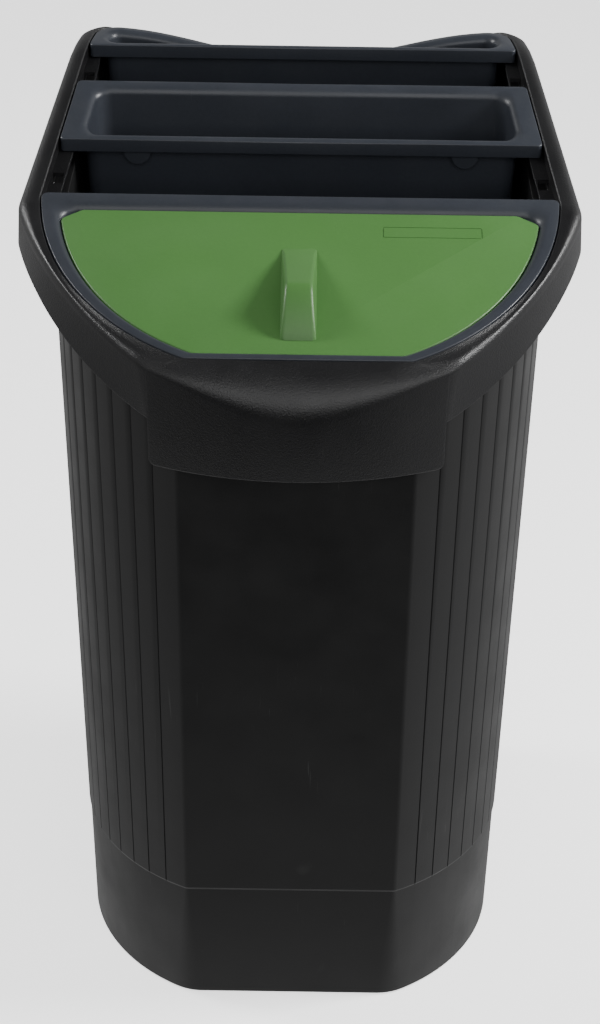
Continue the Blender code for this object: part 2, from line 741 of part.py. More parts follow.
def middle_insert(finish):
    shape = (MIDDLE_Y, MIDDLE_FLATS, MIDDLE_TAPERS, MIDDLE_ROUNDS, MIDDLE_BACK_CORNER, MIDDLE_FLOOR_Z)
    tub = hung_tub("middle_insert", *shape, finish)
    for side in (-1, 1):
        boolean(tub, "UNION", boss(side, finish))
    return tub


def rear_insert(finish):
    shape = (REAR_Y, REAR_FLATS, REAR_TAPERS, REAR_ROUNDS, REAR_BACK_CORNER, REAR_FLOOR_Z)
    return hung_tub("rear_insert", *shape, finish)


def main():
    clear_scene()
    body_shell(material("charcoal_plastic", CHARCOAL, 0.42))
    top_frame(material("grained_black_plastic", BLACK, 0.55))
    slate = material("slate_plastic", SLATE, 0.40)
    front_insert(slate)
    middle_insert(slate.copy())
    rear_insert(slate.copy())
    front_lid(material("green_plastic", GREEN, 0.45))


main()
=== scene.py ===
import math

import bmesh
import bpy
from mathutils import Matrix, Vector


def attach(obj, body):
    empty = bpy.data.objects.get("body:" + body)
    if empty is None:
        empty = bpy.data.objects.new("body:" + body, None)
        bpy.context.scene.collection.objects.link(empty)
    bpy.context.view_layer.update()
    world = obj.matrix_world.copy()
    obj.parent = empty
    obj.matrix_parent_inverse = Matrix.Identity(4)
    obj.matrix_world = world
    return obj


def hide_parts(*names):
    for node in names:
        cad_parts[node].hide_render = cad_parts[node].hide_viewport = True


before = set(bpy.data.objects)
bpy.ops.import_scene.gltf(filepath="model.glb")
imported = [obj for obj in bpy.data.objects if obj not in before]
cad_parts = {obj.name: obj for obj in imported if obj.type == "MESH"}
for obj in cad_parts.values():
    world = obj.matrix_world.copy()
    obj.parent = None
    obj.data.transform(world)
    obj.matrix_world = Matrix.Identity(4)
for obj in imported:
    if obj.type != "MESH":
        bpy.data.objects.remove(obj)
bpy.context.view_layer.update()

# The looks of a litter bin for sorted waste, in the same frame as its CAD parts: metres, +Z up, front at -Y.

FINE = 3  # how many times more finely than the CAD solids the outlines are stepped
SHARP = 35.0  # degrees above which an edge stays sharp

# Rim surface: it rises towards the back, runs level over the rear insert and dips along the back edge
RIM_Z = 0.6007
RIM_SLOPE = 0.305
LEVEL_Y = 0.150
LEVEL_BLEND = 0.008
BACK_DIP = 0.023
BACK_DIP_HALF = 0.150
BACK_DIP_START = 0.004
BACK_DIP_LENGTH = 0.026

# Plan headings, degrees from +X
SIDE_TURN = 97.1
BACK_TURN = 180.0
FACET_TURN = 24.0

# Running fit round each lift-out piece
FIT_GAP = 0.001

# Body
WALL = 0.0025
FLOOR = 0.003
BODY_FACET_Y = -0.168
BODY_FACET_LEAN = 0.0275
BODY_CENTRE = (0.0101, -0.0364)
BODY_CENTRE_DRIFT = -0.0054
BODY_ARC = 0.1476
BODY_ARC_SPREAD = 0.0302
BODY_ARC_END = 91.0
BODY_BACK_Y = 0.170
BODY_BACK_LEAN = 0.0245
BODY_BACK_CORNER = 0.020
BODY_SIDE_TURN = 95.0
BODY_SIDE_CORNER = 0.050
BAND_HEIGHT = 0.104
BAND_STEP = 0.001
BAND_STEP_HEIGHT = 0.0012
BASE_ROUND = 0.003
BAND_FACET_CORNER = 0.040
RIB_FACET_CORNER = 0.008
GROOVES = 9
GROOVE_START = 33.7
GROOVE_TURN = 6.3
GROOVE_HALF_TURN = 0.20
GROOVE_DEPTH = 0.0010
GROOVE_POWER = 1.3
BODY_TOP_DROP = 0.021
FRONT_RELIEF = 0.004
FRONT_RELIEF_Y = -0.085
FRONT_RELIEF_BLEND = 0.030
FLANGE = 0.0095
FLANGE_THICKNESS = 0.0025
FLANGE_BLEND = 0.045
FLANGE_STEP = 0.001
FLANGE_ROUND = 0.0008
BODY_RIM_ROUND = 0.0006

# Top frame
FRAME_FACET_Y = -0.176
FRAME_FACET_HALF = 0.0757
FRAME_ARC = 0.180
FRAME_ARC_END = 86.0
FRAME_BACK_Y = 0.190
FRAME_BACK_CORNER = 0.020
FRAME_FACET_CORNER = 0.010
COLLAR_FACET_CORNER = 0.080
FRAME_SIDE_CORNER = 0.030
SIDE_START = 23 * FINE  # the station of the frame's outline where the straight side begins
FRAME_WALL = 0.0025
FRAME_EDGE = 0.0008
FRAME_LEG = 0.0207
BACK_LEG_RELIEF = 0.0025
BACK_LEG_BLEND = 0.015
BACK_SINK = 0.004
BACK_SINK_Y = 0.168
BACK_SINK_BLEND = 0.022
BACK_SINK_X = 0.152
BACK_SINK_SIDE_BLEND = 0.017

# Collar of the top frame: its widest line is the shoulder, its lower edge the skirt, its front part the apron
COLLAR_TURN = 98.0
BULGE_ARC = 0.226
BULGE_END = 26.0
BULGE_CORNER = 0.020
COLLAR_SIDE_CORNER = 0.030
SHOULDER_Y = -0.2015
SHOULDER_CORNER = 0.035
SHOULDER_CORNER_TURN = 43.0
SHOULDER_ARC_END = 72.0
SHOULDER_OUTSET = 0.0145
SHOULDER_BACK_OUTSET = 0.0115
SHOULDER_DROP = 0.008
SHOULDER_FRONT_DROP = 0.022
SHOULDER_FRONT_HALF = 0.105
SQUARE_Y = -0.190
SQUARE_BLEND = 0.100
SQUARENESS = 0.90
FRONT_SLOPE = 0.45
APRON_Y = -0.1995
SKIRT_CORNER_TURN = 31.0
SKIRT_ARC = 0.200
SKIRT_ARC_TURN = 64.0
SKIRT_ARC_END = 75.0
SKIRT_OUTSET = 0.0135
SKIRT_BACK_OUTSET = 0.010
APRON_HALF = 0.0992
APRON_Z = 0.4676
APRON_CORNER = 0.004
APRON_STATION = 6 * FINE  # the station of every collar outline where the apron ends
SKIRT_Z_AT_APRON = 0.5026
SKIRT_DEPTH_SIDE = 0.0235
SKIRT_RISE_Y = -0.176
SKIRT_RISE_LENGTH = 0.100
SKIRT_ROUND = 0.0011
LEDGE_DROP = 0.010
LEDGE_THICKNESS = 0.003
LEDGE_WIDTH = 0.008
LEDGE_SIDE_EXTRA = 0.0025
LEDGE_SIDE_YS = (-0.030, 0.150)
LEDGE_SIDE_BLEND = 0.015
HOLE_YS = (0.013, 0.126)
HOLE_SIZE = (0.008, 0.011)
HOLE_INSET = 0.0052
EDGE_ROUND = 0.0006  # the small rounds of the skirt, the ledge and the front insert's lip

# Inserts
INSERT_WALL = 0.002
LIP_DEPTH = 0.0097
LIP_THICKNESS = 0.0025
LIP_CORNER = 0.003
FRONT_BACK_Y = -0.016
FRONT_BACK_CORNER = 0.004
FRONT_FLOOR_Z = 0.330
FRONT_TAPER = 0.008
MIDDLE_Y = (0.041, 0.107)
REAR_Y = (0.150, 0.189)
TUB_ROUND = 0.0055
BOSS_RADIUS = 0.0095
BOSS_STRAIGHT = 0.004
BOSS_THICKNESS = 0.0052
BOSS_BURY = 0.003
BOSS_STEPS = 32
BOSS_X = 0.118
BOSS_Y = MIDDLE_Y[0] + 0.0025
# The front lip's inside wall, its slope's start and its underside's middle, as shares of the way in
LIP_SLOPE = (0.13, 0.46, 0.60)
LIP_SLOPE_DROP = 0.0015
FRONT_LIP_ROUND = 0.0011
SEAT_EDGE_ROUND = 0.0005
TUB_LIP_ROUNDS = (0.0005, 0.0007, 0.0012)

# Lid
LID_FACET_Y = -0.1675
LID_FACET_HALF = 0.069
LID_ARC = 0.1667
LID_ARC_END = 81.3
LID_FACET_CORNER = 0.012
LID_BACK_Y = -0.029
LID_BACK_CORNER = 0.004
LID_NOTCH_TURN = 148.0
LID_NOTCH_CORNER = 0.003
LID_NOTCH = 0.011
LID_DROP = 0.003
LID_THICKNESS = 0.0025
LID_EDGE = 0.0011
LID_CHAMFER = 0.0004
LID_GAP = 0.0006
SEAT_DROP = 0.0058
SEAT_WIDTH = 0.004
SEAT_CORNER = 0.012
GRIP_Y = (-0.0655, -0.1545)
GRIP_BEND_Y = -0.1275
GRIP_FOOT_HALF = 0.0122
GRIP_DRAFT = 0.0028
GRIP_DRAFT_HEIGHT = 0.022
GRIP_ROUND = 0.0030
GRIP_END_ROUND = 0.0030
GRIP_BURY = 0.0009
GRIP_MIN_HEIGHT = 0.0012
GRIP_LEVEL_Y = -0.065
GRIP_LEVEL_DROP = 0.0003
GRIP_RISE = 0.0022
GRIP_CROWN = 0.0012
GRIP_CROWN_SHARE = 0.6
GRIP_NOSE = (1.35, 0.82)  # the powers of the nose's curve
GRIP_STEPS = 44
LABEL = ((0.0575, 0.1265), (-0.0535, -0.0427))
LABEL_CORNER = 0.0012
LABEL_WIDTH = 0.0007
LABEL_DEPTH = 0.0003
LABEL_ABOVE = 0.002


# ---------------------------------------------------------------- outlines

def smooth(t):
    """A soft step from 0 to 1, held beyond both ends."""
    t = min(1.0, max(0.0, t))
    return t * t * (3.0 - 2.0 * t)


def rim_z(x, y):
    """Height of the rim surface."""
    ahead = LEVEL_Y - y
    ahead = (ahead + math.hypot(ahead, LEVEL_BLEND)) / 2.0
    dip = smooth((y - LEVEL_Y - BACK_DIP_START) / BACK_DIP_LENGTH)
    dip *= math.cos(math.pi / 2.0 * min(1.0, abs(x) / BACK_DIP_HALF)) ** 2
    return RIM_Z + RIM_SLOPE * (LEVEL_Y - ahead) - BACK_DIP * dip


def arc_centre(facet_y, facet_half, arc):
    """Centre of the front arc that starts where the facet ends."""
    turn = math.radians(FACET_TURN)
    return (facet_half - arc * math.sin(turn), facet_y + arc * math.cos(turn))


class Outline:
    """A plan outline traced from the front's middle to the back's middle, on the +X side."""

    def __init__(self, y):
        self.points = [(0.0, y)]
        self.turn = 0.0

    def line(self, length, steps=1):
        """A straight run along the current heading."""
        x, y = self.points[-1]
        steps *= FINE
        dx = math.cos(math.radians(self.turn)) * length / steps
        dy = math.sin(math.radians(self.turn)) * length / steps
        self.points += [(x + dx * k, y + dy * k) for k in range(1, steps + 1)]

    def bend(self, radius, turn, steps):
        """An arc from the current heading to another."""
        x, y = self.points[-1]
        steps *= FINE
        start, end = math.radians(self.turn), math.radians(turn)
        centre = (x - radius * math.sin(start), y + radius * math.cos(start))
        for k in range(1, steps + 1):
            a = start + (end - start) * k / steps
            self.points.append((centre[0] + radius * math.sin(a), centre[1] - radius * math.cos(a)))
        self.turn = turn

    def front(self, centre, arc, corner, line_steps, corner_steps):
        """The facet and the corner that leads into the arc."""
        turn = math.acos((centre[1] - self.points[0][1] - corner) / (arc - corner))
        self.line(centre[0] + (arc - corner) * math.sin(turn), line_steps)
        self.bend(corner, math.degrees(turn), corner_steps)

    def to_side(self, turn, corner, outset, steps, corner_steps):
        """The arc and corner that meet the straight side, outset from the frame's."""
        first, last, side = (math.radians(a) for a in (self.turn, turn, SIDE_TURN))
        target = frame_half(0.0)[SIDE_START]
        x, y = self.points[-1]
        x += corner * (math.sin(side) - math.sin(last)) - target[0]
        y += corner * (math.cos(last) - math.cos(side)) - target[1]
        across = (math.sin(last) - math.sin(first)) * math.sin(side)
        along = (math.cos(first) - math.cos(last)) * math.cos(side)
        arc = (outset - x * math.sin(side) + y * math.cos(side)) / (across - along)
        self.bend(arc, turn, steps)
        self.bend(corner, COLLAR_TURN, corner_steps)

    def back(self, back_y, corner, side_steps, corner_steps, back_steps):
        """The straight side, the back corner and the back edge."""
        turn = math.radians(self.turn)
        rise = back_y - corner * (1.0 + math.cos(turn)) - self.points[-1][1]
        self.line(rise / math.sin(turn), side_steps)
        self.bend(corner, BACK_TURN, corner_steps)
        x, y = self.points[-1]
        self.to_middle(x, y, back_steps)

    def to_middle(self, x, y, steps):
        """Level steps to the middle line."""
        steps *= FINE
        self.points += [(x * (1.0 - k / steps), y) for k in range(1, steps + 1)]


def frame_half(inset, corner=FRAME_FACET_CORNER):
    """The rebate's wall in the top frame."""
    centre = arc_centre(FRAME_FACET_Y, FRAME_FACET_HALF, FRAME_ARC)
    outline = Outline(FRAME_FACET_Y + inset)
    outline.front(centre, FRAME_ARC - inset, corner - inset, 6, 3)
    outline.bend(FRAME_ARC - inset, FRAME_ARC_END, 11)
    outline.bend(FRAME_SIDE_CORNER - inset, SIDE_TURN, 3)
    outline.back(FRAME_BACK_Y - inset, FRAME_BACK_CORNER - inset, 4, 6, 6)
    return outline.points


def shoulder_half():
    """The collar's widest line."""
    outline = Outline(SHOULDER_Y)
    outline.bend(BULGE_ARC, BULGE_END, 6)
    outline.bend(SHOULDER_CORNER, SHOULDER_CORNER_TURN, 3)
    outline.to_side(SHOULDER_ARC_END, COLLAR_SIDE_CORNER, SHOULDER_OUTSET, 11, 3)
    outset = SHOULDER_BACK_OUTSET
    outline.back(FRAME_BACK_Y + outset, FRAME_BACK_CORNER + outset, 4, 6, 6)
    return outline.points


def skirt_half():
    """The collar's lower edge."""
    outline = Outline(APRON_Y)
    outline.bend(BULGE_ARC, BULGE_END, 6)
    outline.bend(BULGE_CORNER, SKIRT_CORNER_TURN, 3)
    outline.bend(SKIRT_ARC, SKIRT_ARC_TURN, 7)
    outline.to_side(SKIRT_ARC_END, COLLAR_SIDE_CORNER, SKIRT_OUTSET, 4, 3)
    outset = SKIRT_BACK_OUTSET
    outline.back(FRAME_BACK_Y + outset, FRAME_BACK_CORNER + outset, 4, 6, 6)
    return outline.points


def side_x(y):
    """Half the width between the frame's straight sides."""
    x, y_end = frame_half(0.0)[SIDE_START]
    return x + (y - y_end) / math.tan(math.radians(SIDE_TURN))


def mirrored(half):
    """The closed outline of a half and its mirror image."""
    return half + [(-x, y) for x, y in reversed(half[1:-1])]


def on_rim(half, drop):
    """A closed ring that follows the rim, at a depth below it."""
    return [(x, y, rim_z(x, y) - drop) for x, y in mirrored(half)]


def level(half, z):
    """A closed ring at one height."""
    return [(x, y, z) for x, y in mirrored(half)]


def part_way(a, b, share):
    return (a[0] + (b[0] - a[0]) * share, a[1] + (b[1] - a[1]) * share)


def between(first, second, share):
    """The outline part way from one to another with the same stations."""
    return [part_way(a, b, share) for a, b in zip(first, second)]


def quarter(steps):
    """(across, down) shares round a quarter circle that leaves the level and ends upright."""
    turns = [math.pi / 2.0 * k / steps for k in range(steps + 1)]
    return [(math.sin(a), 1.0 - math.cos(a)) for a in turns]


# ---------------------------------------------------------------- meshes

def rounded(rings, k, reach, steps=4):
    """Rings that replace ring k, so that the section turns there along a curve and not at an edge."""
    out = [[] for _ in range(steps + 1)]
    for before, at, after in zip(rings[k - 1], rings[k], rings[(k + 1) % len(rings)]):
        before, at, after = Vector(before), Vector(at), Vector(after)
        ends = []
        for other in (before, after):
            along = other - at
            ends.append(at + along * min(0.45, reach / max(along.length, 1e-9)))
        for j in range(steps + 1):
            t = j / steps
            out[j].append(ends[0] * (1.0 - t) ** 2 + at * 2.0 * t * (1.0 - t) + ends[1] * t * t)
    return out


def softened(rings, reaches):
    """The rings with those in reaches, {ring: reach}, rounded."""
    out = []
    for k, ring in enumerate(rings):
        out += rounded(rings, k, reaches[k]) if k in reaches else [ring]
    return out


def mesh_object(name, bm):
    if bm.calc_volume(signed=True) < 0.0:
        bmesh.ops.reverse_faces(bm, faces=bm.faces)
    mesh = bpy.data.meshes.new(name)
    bm.to_mesh(mesh)
    bm.free()
    mesh.shade_smooth()
    mesh.set_sharp_from_angle(angle=math.radians(SHARP))
    obj = bpy.data.objects.new(name, mesh)
    bpy.context.scene.collection.objects.link(obj)
    return obj


def loft(name, rings, closed=False):
    """A solid skinned over rings: capped at both ends, or closed into a tube of section."""
    bm = bmesh.new()
    loops = [[bm.verts.new(point) for point in ring] for ring in rings]
    pairs = list(zip(loops, loops[1:]))
    if closed:
        pairs.append((loops[-1], loops[0]))
    else:
        bm.faces.new(loops[0][::-1])
        bm.faces.new(loops[-1])
    count = len(loops[0])
    for low, high in pairs:
        for i in range(count):
            j = (i + 1) % count
            bm.faces.new((low[i], low[j], high[j], high[i]))
    return mesh_object(name, bm)


def prism(name, outline, y_low, y_high):
    """A solid of one (x, z) outline between two depths."""
    return loft(name, [[(x, y, z) for x, z in outline] for y in (y_low, y_high)])


def combine(obj, operation, others):
    """Joins or cuts with helpers, applies the result and removes the helpers."""
    for other in others:
        modifier = obj.modifiers.new(other.name, "BOOLEAN")
        modifier.operation = operation
        modifier.solver = "EXACT"
        modifier.object = other
    bpy.context.view_layer.update()
    evaluated = obj.evaluated_get(bpy.context.evaluated_depsgraph_get())
    mesh = bpy.data.meshes.new_from_object(evaluated)
    obj.modifiers.clear()
    obj.data = mesh
    mesh.shade_smooth()
    mesh.set_sharp_from_angle(angle=math.radians(SHARP))
    for other in others:
        bpy.data.objects.remove(other, do_unlink=True)
    return obj


# ---------------------------------------------------------------- body

def groove_shape(offset):
    """Depth of a groove at a turn away from its middle, as a share."""
    t = abs(offset) / GROOVE_HALF_TURN
    return 0.0 if t >= 1.0 else (1.0 - t) ** GROOVE_POWER


def body_half(z, inset, facet_corner, groove=0.0, flange=0.0):
    """The body's outline at a height, with its grooves and its flange where asked for."""
    arc = BODY_ARC + BODY_ARC_SPREAD * z - inset
    centre = (BODY_CENTRE[0] + BODY_CENTRE_DRIFT * z, BODY_CENTRE[1])
    outline = Outline(BODY_FACET_Y - BODY_FACET_LEAN * z + inset)
    outline.front(centre, arc, facet_corner - inset, 3, 3)
    for k in range(GROOVES):
        middle = GROOVE_START + GROOVE_TURN * k
        outline.bend(arc, middle - GROOVE_HALF_TURN, 1)
        first = len(outline.points)
        outline.bend(arc, middle + GROOVE_HALF_TURN, 2)
        for i in range(first, len(outline.points)):
            x, y = outline.points[i]
            turn = math.degrees(math.atan2(x - centre[0], centre[1] - y))
            depth = groove * groove_shape(turn - middle)
            a = math.radians(turn)
            outline.points[i] = (x - depth * math.sin(a), y + depth * math.cos(a))
    outline.bend(arc, BODY_ARC_END, 1)
    outline.bend(BODY_SIDE_CORNER - inset, BODY_SIDE_TURN, 2)
    outline.back(BODY_BACK_Y + BODY_BACK_LEAN * z - inset, BODY_BACK_CORNER - inset, 4, 6, 6)
    moved = []
    for x, y in outline.points:
        scale = 1.0 + flange * smooth((y - FRONT_RELIEF_Y) / FLANGE_BLEND) / math.hypot(x, y)
        moved.append((x * scale, y * scale))
    return moved


def body_ring(drop, **shape):
    """The body's outline where its leaning walls meet a surface below the rim."""
    low = mirrored(body_half(0.0, **shape))
    high = mirrored(body_half(1.0, **shape))
    ring = []
    for a, b in zip(low, high):
        z = RIM_Z
        for _ in range(8):
            x = a[0] + (b[0] - a[0]) * z
            y = a[1] + (b[1] - a[1]) * z
            relief = FRONT_RELIEF * smooth((FRONT_RELIEF_Y - y) / FRONT_RELIEF_BLEND)
            z = rim_z(x, y) - drop - relief
        ring.append((x, y, z))
    return ring


def make_body():
    band = {"facet_corner": BAND_FACET_CORNER}
    rib = {"facet_corner": RIB_FACET_CORNER}
    ribs = {"facet_corner": RIB_FACET_CORNER, "groove": GROOVE_DEPTH}
    flange_bottom = BODY_TOP_DROP + FLANGE_THICKNESS
    base = []
    for across, down in quarter(5):
        z = BASE_ROUND * down
        base.append(level(body_half(z, inset=BAND_STEP + BASE_ROUND * (1.0 - across), **band), z))
    band_top = BAND_HEIGHT - BAND_STEP_HEIGHT
    rings = base + [
        level(body_half(band_top, inset=BAND_STEP, **rib), band_top),
        level(body_half(BAND_HEIGHT, inset=0.0, **ribs), BAND_HEIGHT),
        body_ring(flange_bottom + FLANGE_STEP, inset=0.0, **ribs),
        body_ring(flange_bottom, inset=0.0, flange=FLANGE, **rib),
        body_ring(BODY_TOP_DROP, inset=0.0, flange=FLANGE, **rib),
        body_ring(BODY_TOP_DROP, inset=WALL, **rib),
        level(body_half(FLOOR, inset=WALL + BAND_STEP, **band), FLOOR),
    ]
    step = len(base)
    soft = {step: FLANGE_ROUND, step + 1: FLANGE_ROUND, step + 4: BODY_RIM_ROUND, step + 5: BODY_RIM_ROUND}
    return loft("bin_body", softened(rings, soft))


# ---------------------------------------------------------------- top frame

def skirt_z(x, y):
    """Height of the collar's lower edge: level along the apron, then up in a step and after the rim."""
    if abs(x) < APRON_HALF and y < 0.0:
        corner = max(0.0, abs(x) - (APRON_HALF - APRON_CORNER)) / APRON_CORNER
        return APRON_Z + APRON_CORNER * (1.0 - math.sqrt(max(0.0, 1.0 - corner * corner)))
    start = rim_z(APRON_HALF, SKIRT_RISE_Y) - SKIRT_Z_AT_APRON
    share = 1.0 - min(1.0, max(0.0, (y - SKIRT_RISE_Y) / SKIRT_RISE_LENGTH))
    return rim_z(x, y) - (SKIRT_DEPTH_SIDE + (start - SKIRT_DEPTH_SIDE) * share * share)


def shoulder_drop(x, y):
    """Depth of the shoulder below the rim: it hangs lower in front."""
    if y > 0.0:
        return SHOULDER_DROP
    return SHOULDER_DROP + SHOULDER_FRONT_DROP * smooth(1.0 - abs(x) / SHOULDER_FRONT_HALF)


def along_back(y):
    """Share of the back edge's form at a depth: 0 at the sides, 1 along the back."""
    return smooth((y - BACK_SINK_Y) / BACK_SINK_BLEND)


def back_sink(x, y):
    """Depth by which the frame's back edge lies lower between its corners."""
    return BACK_SINK * along_back(y) * smooth((BACK_SINK_X - abs(x)) / BACK_SINK_SIDE_BLEND)


def moved_towards(half, target, distance):
    """The points, each moved a distance towards its partner."""
    points = []
    for (x, y), (tx, ty) in zip(half, target):
        reach = math.hypot(tx - x, ty - y)
        moved_x, moved_y = x + (tx - x) * distance / reach, y + (ty - y) * distance / reach
        points.append((moved_x, moved_y))
    return points


def arch(inner, soft, outer, depth, steps):
    """Rings over the shoulder: they leave the inner outline for its softer form, then reach the outer one."""
    rings = []
    for k in range(steps + 1):
        a = math.pi / 2.0 * k / steps
        start = between(inner, soft, smooth(2.0 * k / steps))
        ring = []
        for (x, y), (ox, oy) in zip(start, outer):
            slope = FRONT_SLOPE * (1.0 - smooth((oy - SQUARE_Y) / SQUARE_BLEND))
            power = 2.0 / (2.0 + SQUARENESS * (1.0 - along_back(y)))
            across = math.sin(a) ** power
            down = slope * across + (1.0 - slope) * (1.0 - math.cos(a) ** power)
            top = rim_z(x, y) - depth - back_sink(x, y)
            bottom = rim_z(ox, oy) - shoulder_drop(ox, oy) - back_sink(x, y)
            px, py = part_way((x, y), (ox, oy), across)
            ring.append((px, py, top + (bottom - top) * down))
        rings.append(ring)
    return rings


def with_apron_end(half):
    """Adds stations round the apron's end, where the skirt steps up."""
    i = APRON_STATION
    before, end, after = half[i - 1 : i + 2]
    close = [part_way(before, end, share) for share in (0.6, 0.8, 0.9, 0.96)]
    beyond = [part_way(end, after, share) for share in (0.3, 0.6)]
    return half[:i] + close + [end] + beyond + half[i + 1 :]


def ledge_half():
    """The ledge's inner edge: the ledge is wider along the straight sides."""
    start, end = LEDGE_SIDE_YS
    points = []
    for x, y in frame_half(LEDGE_WIDTH):
        wider = smooth((y - start) / LEDGE_SIDE_BLEND) * smooth((end - y) / LEDGE_SIDE_BLEND)
        points.append((x - LEDGE_SIDE_EXTRA * wider, y))
    return points


def make_frame():
    inner = mirrored(with_apron_end(frame_half(0.0)))
    soft = mirrored(with_apron_end(frame_half(0.0, COLLAR_FACET_CORNER)))
    wall = mirrored(with_apron_end(frame_half(-FRAME_WALL)))
    ledge = mirrored(with_apron_end(ledge_half()))
    shoulder = mirrored(with_apron_end(shoulder_half()))
    skirt = mirrored(with_apron_end(skirt_half()))
    shoulder_in = moved_towards(shoulder, inner, FRAME_WALL)
    skirt_in = moved_towards(skirt, inner, FRAME_WALL)

    def below_rim(ring, drop):
        return [(x, y, rim_z(x, y) - drop) for x, y in ring]

    def leg(ring):
        relief = [BACK_LEG_RELIEF * smooth((y - LEVEL_Y) / BACK_LEG_BLEND) for _, y in ring]
        return [(x, y, rim_z(x, y) - FRAME_LEG + less) for (x, y), less in zip(ring, relief)]

    rings = [[(x, y, rim_z(x, y) - FRAME_EDGE - back_sink(x, y)) for x, y in inner]]
    rings += arch(moved_towards(inner, shoulder, FRAME_EDGE), soft, shoulder, 0.0, 20)
    outer_skirt = len(rings)
    rings.append([(x, y, skirt_z(x, y)) for x, y in skirt])
    rings.append([(x, y, skirt_z(*edge)) for (x, y), edge in zip(skirt_in, skirt)])
    rings += reversed(arch(wall, wall, shoulder_in, FRAME_WALL, 4))
    rings += [
        leg(wall),
        leg(inner),
        below_rim(inner, LEDGE_DROP + LEDGE_THICKNESS),
        below_rim(ledge, LEDGE_DROP + LEDGE_THICKNESS),
        below_rim(ledge, LEDGE_DROP),
        below_rim(inner, LEDGE_DROP),
    ]
    last = len(rings)
    soft = {outer_skirt: SKIRT_ROUND}
    soft.update({k: EDGE_ROUND for k in (outer_skirt + 1, last - 3, last - 2)})
    obj = loft("bin_top_frame", softened(rings, soft), closed=True)
    cutters = []
    for side in (-1, 1):
        for y in HOLE_YS:
            x = side * (side_x(y) - HOLE_INSET)
            half_x, half_y = (size / 2.0 for size in HOLE_SIZE)
            top = rim_z(x, y) - LEDGE_DROP + LEDGE_WIDTH / 2.0
            bottom = top - 2.0 * LEDGE_WIDTH
            left, right = x - half_x, x + half_x
            outline = [(left, bottom), (right, bottom), (right, top), (left, top)]
            cutters.append(prism("ledge_hole", outline, y - half_y, y + half_y))
    return combine(obj, "DIFFERENCE", cutters)


# ---------------------------------------------------------------- front insert and lid

def front_rim_half():
    centre = arc_centre(FRAME_FACET_Y, FRAME_FACET_HALF, FRAME_ARC)
    outline = Outline(FRAME_FACET_Y + FIT_GAP)
    outline.front(centre, FRAME_ARC - FIT_GAP, FRAME_FACET_CORNER - FIT_GAP, 3, 2)
    outline.bend(FRAME_ARC - FIT_GAP, FRAME_ARC_END, 14)
    outline.back(FRONT_BACK_Y, FRONT_BACK_CORNER, 1, 4, 3)
    return outline.points


def lid_half(inset):
    """The lid's outline, with its back corners cut on a slant."""
    centre = arc_centre(LID_FACET_Y, LID_FACET_HALF, LID_ARC)
    outline = Outline(LID_FACET_Y + inset)
    outline.front(centre, LID_ARC - inset, LID_FACET_CORNER, 3, 2)
    outline.bend(LID_ARC - inset, LID_ARC_END, 14)
    outline.bend(LID_NOTCH_CORNER, LID_NOTCH_TURN, 2)
    outline.line(LID_NOTCH, 1)
    outline.back(LID_BACK_Y - inset, LID_BACK_CORNER, 1, 3, 3)
    return outline.points


def seat_half(inset):
    """The outline of the seat that the lid lies on."""
    centre = arc_centre(LID_FACET_Y, LID_FACET_HALF, LID_ARC)
    arc = LID_ARC - inset
    end = math.acos((centre[1] - LID_BACK_Y + inset + SEAT_CORNER) / (arc - SEAT_CORNER))
    outline = Outline(LID_FACET_Y + inset)
    outline.front(centre, arc, LID_FACET_CORNER, 3, 2)
    outline.bend(arc, math.degrees(end), 14)
    outline.bend(SEAT_CORNER, BACK_TURN, 5)
    outline.to_middle(*outline.points[-1], 3)
    return outline.points


def make_front_insert():
    rim = front_rim_half()
    seat = seat_half(-LID_GAP)
    mouth = seat_half(SEAT_WIDTH)
    inside, start, middle = LIP_SLOPE
    lip_inside = between(rim, mouth, inside)
    slope = []
    for across, down in quarter(10):
        slope.append(on_rim(between(rim, seat, start + (1.0 - start) * across), SEAT_DROP * down))
    rings = [
        level(seat_half(SEAT_WIDTH - INSERT_WALL + FRONT_TAPER), FRONT_FLOOR_Z),
        on_rim(seat_half(SEAT_WIDTH - INSERT_WALL), SEAT_DROP + INSERT_WALL),
        on_rim(seat, SEAT_DROP + INSERT_WALL),
        on_rim(between(rim, seat, middle), LIP_SLOPE_DROP + INSERT_WALL),
        on_rim(lip_inside, INSERT_WALL),
        on_rim(lip_inside, LIP_DEPTH),
        on_rim(rim, LIP_DEPTH),
        on_rim(rim, 0.0),
    ]
    corner = len(rings) + len(slope)
    soft = {5: EDGE_ROUND, 6: EDGE_ROUND, 7: FRONT_LIP_ROUND, corner: SEAT_EDGE_ROUND}
    rings += slope
    rings += [
        on_rim(mouth, SEAT_DROP),
        level(seat_half(SEAT_WIDTH + FRONT_TAPER), FRONT_FLOOR_Z + INSERT_WALL),
    ]
    return loft("front_insert_shell", softened(rings, soft))


def lid_z(y):
    """Height of the lid's top."""
    return rim_z(0.0, y) - LID_DROP


def grip_height(y):
    """Height of the fin's top: from the lid at the back, nearly level, then down in a round nose."""
    back, front = GRIP_Y
    start = lid_z(GRIP_LEVEL_Y) - GRIP_LEVEL_DROP
    if y > GRIP_BEND_Y:
        t = (back - y) / (back - GRIP_BEND_Y)
        rise = GRIP_RISE * t + GRIP_CROWN * math.sin(math.pi * min(t, 1.0)) * GRIP_CROWN_SHARE
        return start + rise
    top = start + GRIP_RISE
    foot = lid_z(front)
    t = (GRIP_BEND_Y - y) / (GRIP_BEND_Y - front)
    if t >= 1.0:
        return foot
    inner, outer = GRIP_NOSE
    return foot + (top - foot) * (1.0 - t ** inner) ** outer


